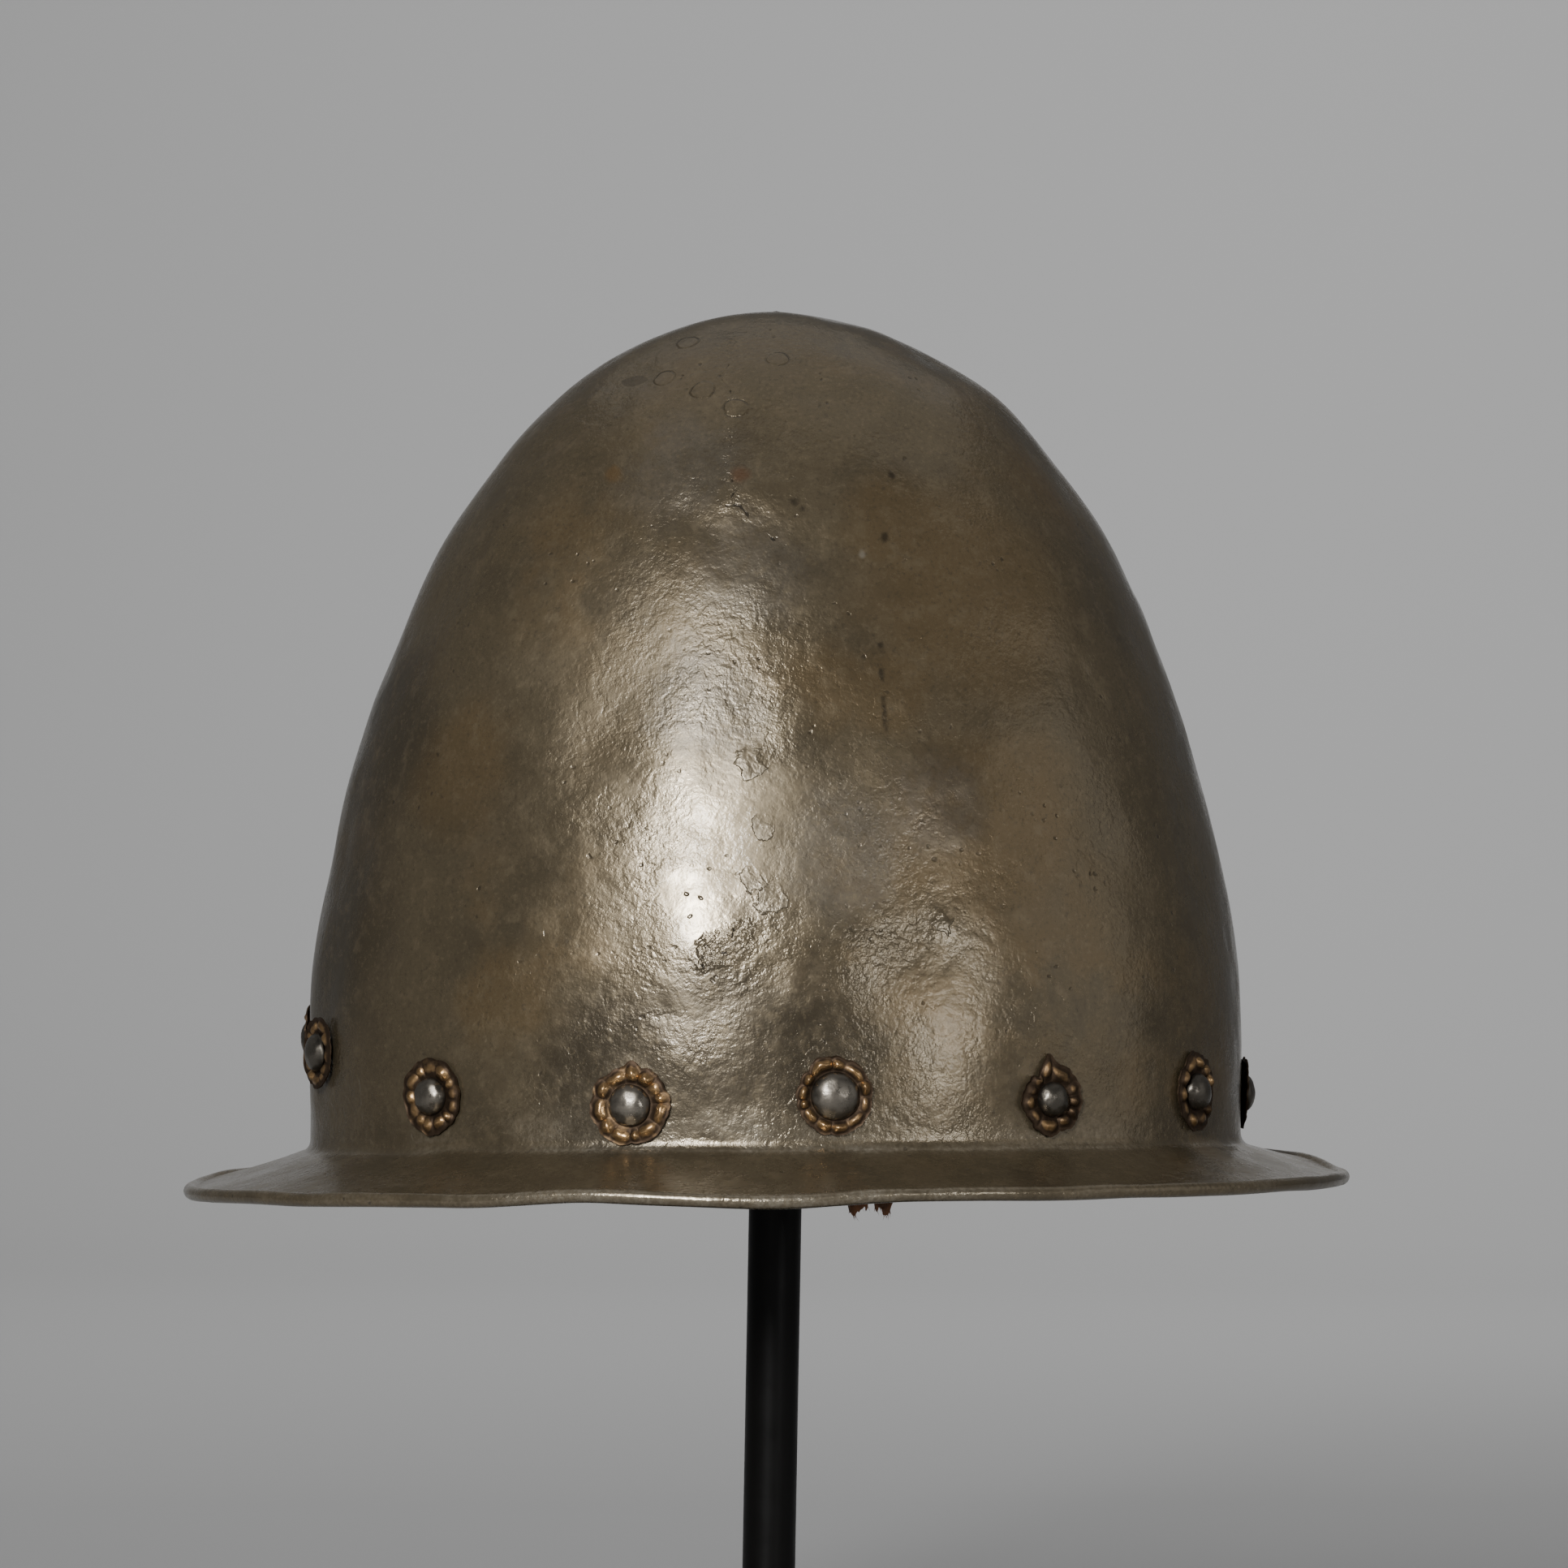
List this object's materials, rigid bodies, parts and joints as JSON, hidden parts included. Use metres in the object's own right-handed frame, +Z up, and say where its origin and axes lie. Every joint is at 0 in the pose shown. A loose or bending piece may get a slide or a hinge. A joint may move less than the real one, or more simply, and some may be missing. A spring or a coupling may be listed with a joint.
{
  "type": "cabasset helmet on a display stand",
  "caption": "Tall one-piece helmet with a keeled oval skull, a sloping brim with a rolled edge and a ring of domed rivets on rosettes, on a plain post.",
  "frame": {"origin": "centre of the stand foot's underside, on the floor", "axes": "+X towards the helmet's front, +Y to the helmet's left side, +Z up"},
  "size_m": [0.2998, 0.2458, 0.3984],
  "materials": {
    "skull_steel": "hammered steel with a dark olive-brown patina, satin where worn",
    "rosette_brass": "thin embossed brass, dulled brown in the hollows",
    "rivet_iron": "hammered iron dome, burnished on top",
    "leather": "old torn leather with a frayed edge",
    "black_paint": "satin black paint"
  },
  "bodies": {
    "root": {"skull_and_brim": "skull_steel", "rosette_01": "rosette_brass", "rosette_02": "rosette_brass", "rosette_03": "rosette_brass", "rosette_04": "rosette_brass", "rosette_05": "rosette_brass", "rosette_06": "rosette_brass", "rosette_07": "rosette_brass", "rosette_08": "rosette_brass", "rosette_09": "rosette_brass", "rosette_10": "rosette_brass", "rosette_11": "rosette_brass", "rosette_12": "rosette_brass", "rosette_13": "rosette_brass", "rivet_01": "rivet_iron", "rivet_02": "rivet_iron", "rivet_03": "rivet_iron", "rivet_04": "rivet_iron", "rivet_05": "rivet_iron", "rivet_06": "rivet_iron", "rivet_07": "rivet_iron", "rivet_08": "rivet_iron", "rivet_09": "rivet_iron", "rivet_10": "rivet_iron", "rivet_11": "rivet_iron", "rivet_12": "rivet_iron", "rivet_13": "rivet_iron", "lining_scrap": "leather", "stand_foot": "black_paint", "stand_post": "black_paint", "stand_saddle": "black_paint"}
  },
  "joints": []
}
